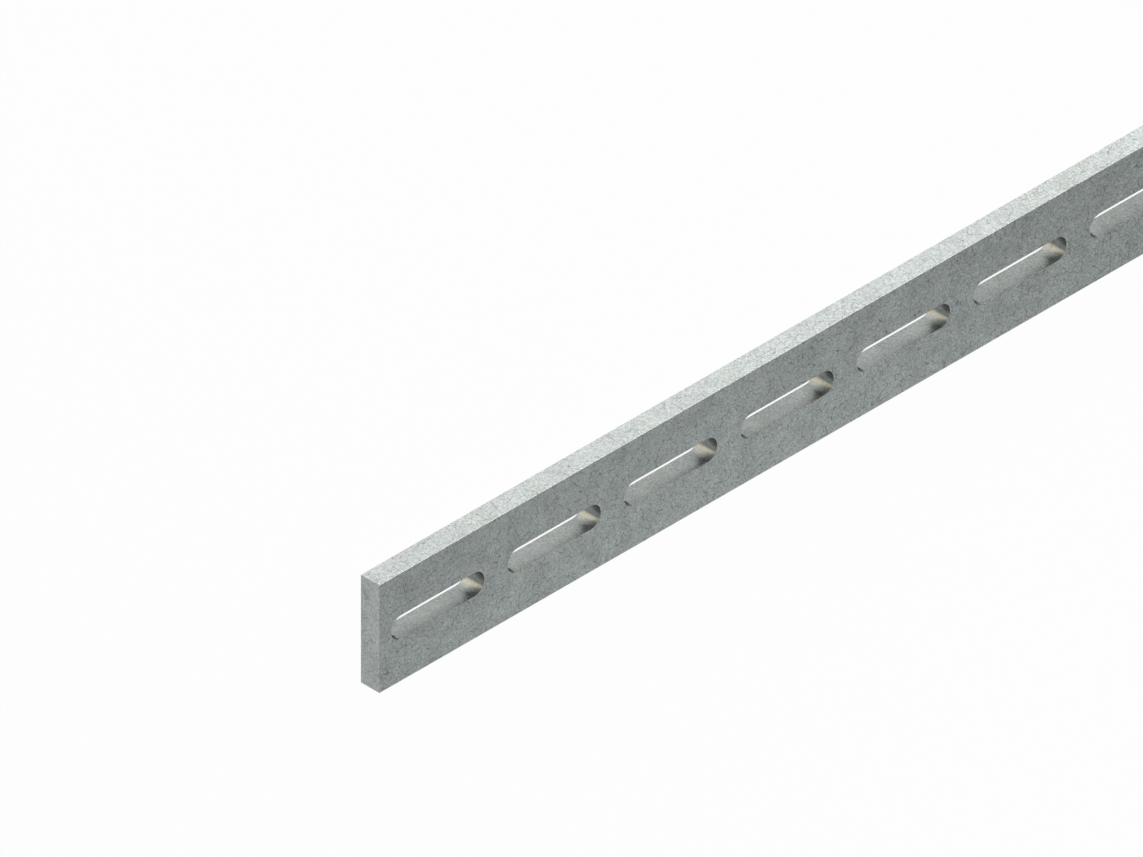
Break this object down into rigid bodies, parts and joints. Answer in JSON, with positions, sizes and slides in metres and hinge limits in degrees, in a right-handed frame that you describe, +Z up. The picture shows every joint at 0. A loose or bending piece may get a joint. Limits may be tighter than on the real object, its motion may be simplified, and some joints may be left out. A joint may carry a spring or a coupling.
{
  "type": "slotted mounting strip",
  "caption": "Long flat bar of galvanised steel with a row of lengthwise slots along its middle, for bolting things to or along it.",
  "frame": {"origin": "middle of the strip's underside", "axes": "+X along the strip's length, +Y across its width, +Z up through its thickness, out of the face that the picture shows"},
  "size_m": [2, 0.04, 0.008],
  "materials": {
    "galvanised_steel": "hot-dip galvanised, dull satin grey with a faint mottle and fine dark veins"
  },
  "bodies": {
    "root": {"slotted_strip": "galvanised_steel"}
  },
  "joints": []
}
